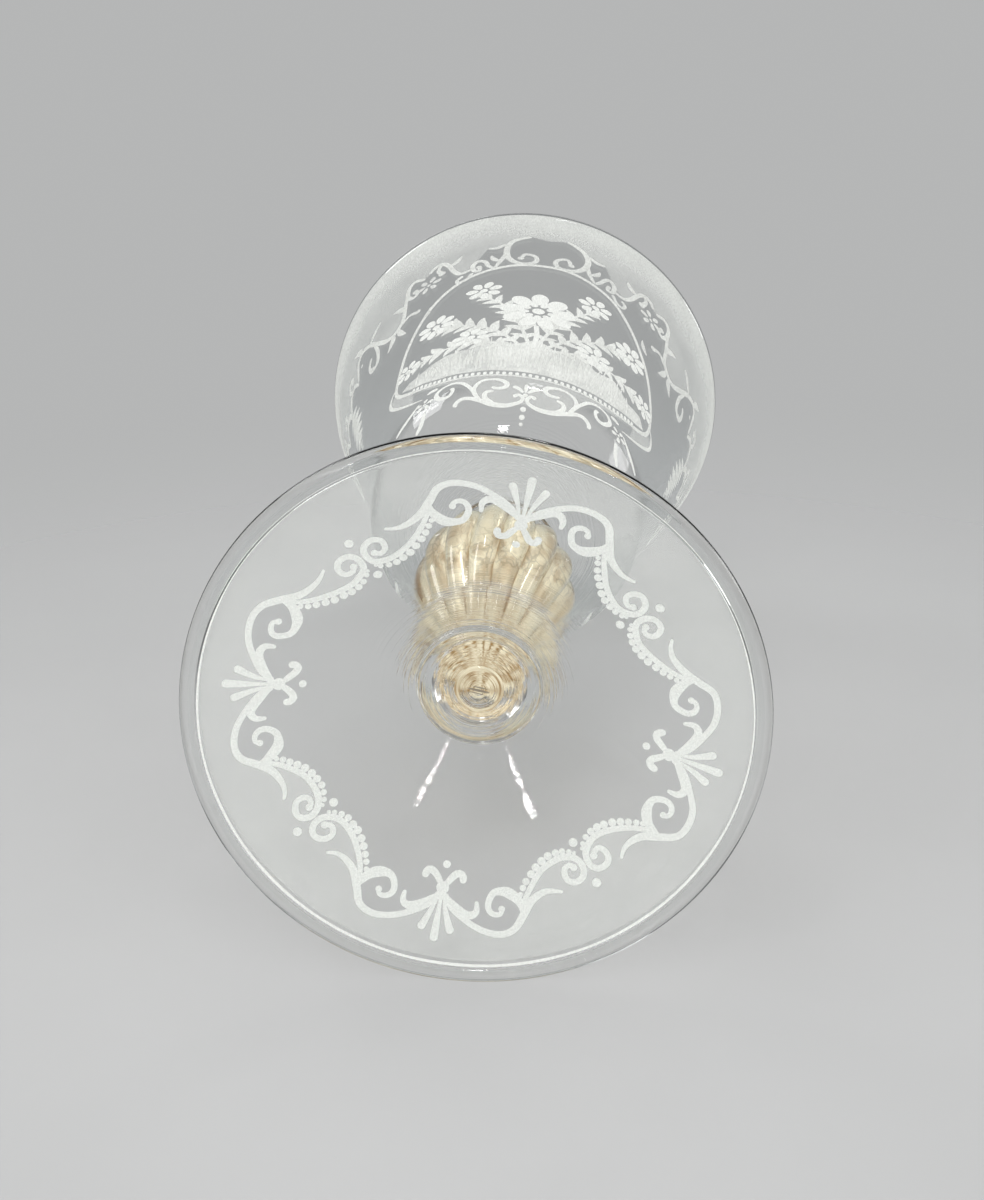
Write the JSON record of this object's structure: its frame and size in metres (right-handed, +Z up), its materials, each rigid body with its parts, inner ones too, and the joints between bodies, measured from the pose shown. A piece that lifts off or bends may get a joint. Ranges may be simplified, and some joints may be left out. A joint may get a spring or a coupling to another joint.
{
  "type": "engraved glass vase",
  "caption": "Tall footed glass vase: flared open bowl on a ribbed gilt knop, with buttons, necks and mereses, and a wide domed foot with a folded rim.",
  "frame": {"origin": "centre of the foot, in the plane that the vase stands on", "axes": "+Z up along the axis of the vase, -Y towards the side of the bowl that carries the engraved medallion"},
  "size_m": [0.15, 0.15, 0.306],
  "materials": {
    "clear_glass": "fire-polished clear glass with matt white engraving",
    "gilt_glass": "glass bubble carrying crackled gold leaf"
  },
  "bodies": {
    "root": {"foot": "clear_glass", "foot_button": "clear_glass", "lower_neck": "clear_glass", "lower_merese": "clear_glass", "knop_casing": "clear_glass", "knop_core": "gilt_glass", "upper_merese": "clear_glass", "upper_neck": "clear_glass", "bowl_button": "clear_glass", "bowl": "clear_glass"}
  },
  "joints": []
}
